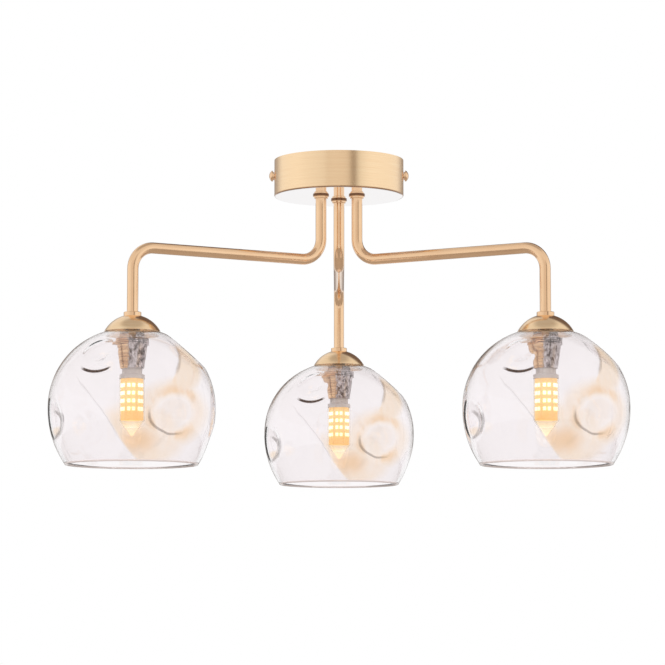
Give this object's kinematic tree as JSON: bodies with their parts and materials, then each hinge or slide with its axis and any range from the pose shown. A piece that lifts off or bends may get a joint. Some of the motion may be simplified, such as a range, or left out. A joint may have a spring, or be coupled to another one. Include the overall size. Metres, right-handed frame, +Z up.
{
  "type": "semi flush ceiling light",
  "caption": "Semi flush ceiling light: round brass canopy, bent tube arms and open dimpled glass shades over capsule lamps.",
  "frame": {"origin": "centre of the canopy on the ceiling plane, on the bracket's upper face", "axes": "+Z up into the ceiling, -Y towards the front of the lamp, +X to its right as seen from the front"},
  "size_m": [0.5157, 0.4664, 0.29],
  "materials": {
    "brushed_brass": "brushed, satin lacquer",
    "zinc_steel": "zinc plated",
    "terminal_plastic": "matt",
    "lead_silicone": "matt",
    "seal_silicone": "matt, translucent",
    "lamp_ceramic": "unglazed",
    "lustre_glass": "clear with a champagne lustre",
    "bulb_plastic": "satin",
    "bulb_circuit": "matt",
    "led_phosphor": "matt",
    "bulb_sleeve": "clear"
  },
  "bodies": {
    "frame": {"ceiling_bracket": "zinc_steel", "terminal_block": "terminal_plastic", "earth_screw": "brushed_brass", "canopy": "brushed_brass", "arm_tube_left": "brushed_brass", "arm_wires_left": "lead_silicone", "stem_washer_left": "zinc_steel", "stem_nut_left": "zinc_steel", "top_collar_left": "brushed_brass", "low_collar_left": "brushed_brass", "dome_cap_left": "brushed_brass", "lock_nut_left": "zinc_steel", "arm_tube_right": "brushed_brass", "arm_wires_right": "lead_silicone", "stem_washer_right": "zinc_steel", "stem_nut_right": "zinc_steel", "top_collar_right": "brushed_brass", "low_collar_right": "brushed_brass", "dome_cap_right": "brushed_brass", "lock_nut_right": "zinc_steel", "arm_tube_back": "brushed_brass", "arm_wires_back": "lead_silicone", "stem_washer_back": "zinc_steel", "stem_nut_back": "zinc_steel", "top_collar_back": "brushed_brass", "low_collar_back": "brushed_brass", "dome_cap_back": "brushed_brass", "lock_nut_back": "zinc_steel"},
    "shade_left": {"glass_shade_left": "lustre_glass", "gasket_left": "seal_silicone"},
    "socket_left": {"holder_cup_left": "brushed_brass", "lampholder_insert_left": "lamp_ceramic"},
    "bulb_left": {"bulb_base_left": "bulb_plastic", "bulb_board_left": "bulb_circuit", "bulb_leds_left": "led_phosphor", "bulb_cover_left": "bulb_sleeve"},
    "shade_right": {"glass_shade_right": "lustre_glass", "gasket_right": "seal_silicone"},
    "socket_right": {"holder_cup_right": "brushed_brass", "lampholder_insert_right": "lamp_ceramic"},
    "bulb_right": {"bulb_base_right": "bulb_plastic", "bulb_board_right": "bulb_circuit", "bulb_leds_right": "led_phosphor", "bulb_cover_right": "bulb_sleeve"},
    "shade_back": {"glass_shade_back": "lustre_glass", "gasket_back": "seal_silicone"},
    "socket_back": {"holder_cup_back": "brushed_brass", "lampholder_insert_back": "lamp_ceramic"},
    "bulb_back": {"bulb_base_back": "bulb_plastic", "bulb_board_back": "bulb_circuit", "bulb_leds_back": "led_phosphor", "bulb_cover_back": "bulb_sleeve"},
    "washer_left": {"side_washer_left": "brushed_brass"},
    "screw_left": {"side_screw_left": "brushed_brass"},
    "washer_right": {"side_washer_right": "brushed_brass"},
    "screw_right": {"side_screw_right": "brushed_brass"}
  },
  "joints": [
    {"name": "shade_drop_left", "type": "slide", "parent": "frame", "child": "shade_left", "axis": [0, 0, -1], "range_m": [0, 0.007]},
    {"name": "socket_turn_left", "type": "hinge", "parent": "shade_left", "child": "socket_left", "pos_m": [-0.1836, -0.106, -0.18], "axis": [0, 0, -1], "range_deg": [0, 2520]},
    {"name": "bulb_pull_left", "type": "slide", "parent": "socket_left", "child": "bulb_left", "axis": [0, 0, -1], "range_m": [0, 0.009]},
    {"name": "shade_drop_right", "type": "slide", "parent": "frame", "child": "shade_right", "axis": [0, 0, -1], "range_m": [0, 0.007]},
    {"name": "socket_turn_right", "type": "hinge", "parent": "shade_right", "child": "socket_right", "pos_m": [0.1836, -0.106, -0.18], "axis": [0, 0, -1], "range_deg": [0, 2520]},
    {"name": "bulb_pull_right", "type": "slide", "parent": "socket_right", "child": "bulb_right", "axis": [0, 0, -1], "range_m": [0, 0.009]},
    {"name": "shade_drop_back", "type": "slide", "parent": "frame", "child": "shade_back", "axis": [0, 0, -1], "range_m": [0, 0.007]},
    {"name": "socket_turn_back", "type": "hinge", "parent": "shade_back", "child": "socket_back", "pos_m": [0, 0.212, -0.18], "axis": [0, 0, -1], "range_deg": [0, 2520]},
    {"name": "bulb_pull_back", "type": "slide", "parent": "socket_back", "child": "bulb_back", "axis": [0, 0, -1], "range_m": [0, 0.009]},
    {"name": "screw_out_left", "type": "slide", "parent": "frame", "child": "washer_left", "axis": [-1, 0, 0], "range_m": [0, 0.0056]},
    {"name": "screw_turn_left", "type": "hinge", "parent": "washer_left", "child": "screw_left", "pos_m": [-0.06, 0, -0.0145], "axis": [-1, 0, 0], "range_deg": [0, 2880]},
    {"name": "screw_out_right", "type": "slide", "parent": "frame", "child": "washer_right", "axis": [1, 0, 0], "range_m": [0, 0.0056]},
    {"name": "screw_turn_right", "type": "hinge", "parent": "washer_right", "child": "screw_right", "pos_m": [0.06, 0, -0.0145], "axis": [1, 0, 0], "range_deg": [0, 2880]}
  ],
  "couplings": [
    {"joint": "socket_turn_left", "follows": "shade_drop_left", "rad_per_m": 6283.2},
    {"joint": "socket_turn_right", "follows": "shade_drop_right", "rad_per_m": 6283.2},
    {"joint": "socket_turn_back", "follows": "shade_drop_back", "rad_per_m": 6283.2},
    {"joint": "screw_turn_left", "follows": "screw_out_left", "rad_per_m": 8976},
    {"joint": "screw_turn_right", "follows": "screw_out_right", "rad_per_m": 8976}
  ]
}
